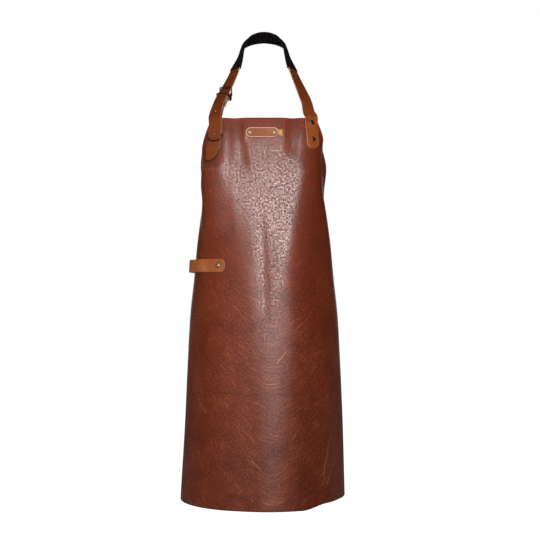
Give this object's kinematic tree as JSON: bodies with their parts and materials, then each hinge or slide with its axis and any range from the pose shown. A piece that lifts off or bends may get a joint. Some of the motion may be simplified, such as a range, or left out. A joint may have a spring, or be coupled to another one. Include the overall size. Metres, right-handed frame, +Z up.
{
  "type": "leather apron",
  "caption": "Long leather work apron in its worn shape, with a padded neck strap, buckle, bare patch and towel loop.",
  "frame": {"origin": "where the inside of the neck pad bears on the nape", "axes": "+Z up, -Y towards the apron's front, +X to the right as seen from the front"},
  "size_m": [0.37, 0.2765, 1.0631],
  "materials": {
    "body_leather": "waxed, semi-gloss",
    "strap_leather": "satin",
    "pad_cloth": "matt weave",
    "tag_cloth": "matt weave",
    "antique_brass": "antique, worn"
  },
  "bodies": {
    "root": {"apron_panel": "body_leather", "neck_strap": "strap_leather", "buckle_strap": "strap_leather", "strap_keeper": "strap_leather", "patch": "strap_leather", "towel_loop": "strap_leather", "neck_pad": "pad_cloth", "side_tag": "tag_cloth", "buckle_frame": "antique_brass", "buckle_prong": "antique_brass", "keeper_ring": "antique_brass", "strap_rivet_right_upper": "antique_brass", "strap_rivet_right_lower": "antique_brass", "strap_rivet_left_upper": "antique_brass", "strap_rivet_left_lower": "antique_brass", "patch_rivet_left": "antique_brass", "patch_rivet_right": "antique_brass", "towel_loop_rivet_front": "antique_brass", "towel_loop_rivet_back": "antique_brass"}
  },
  "joints": []
}
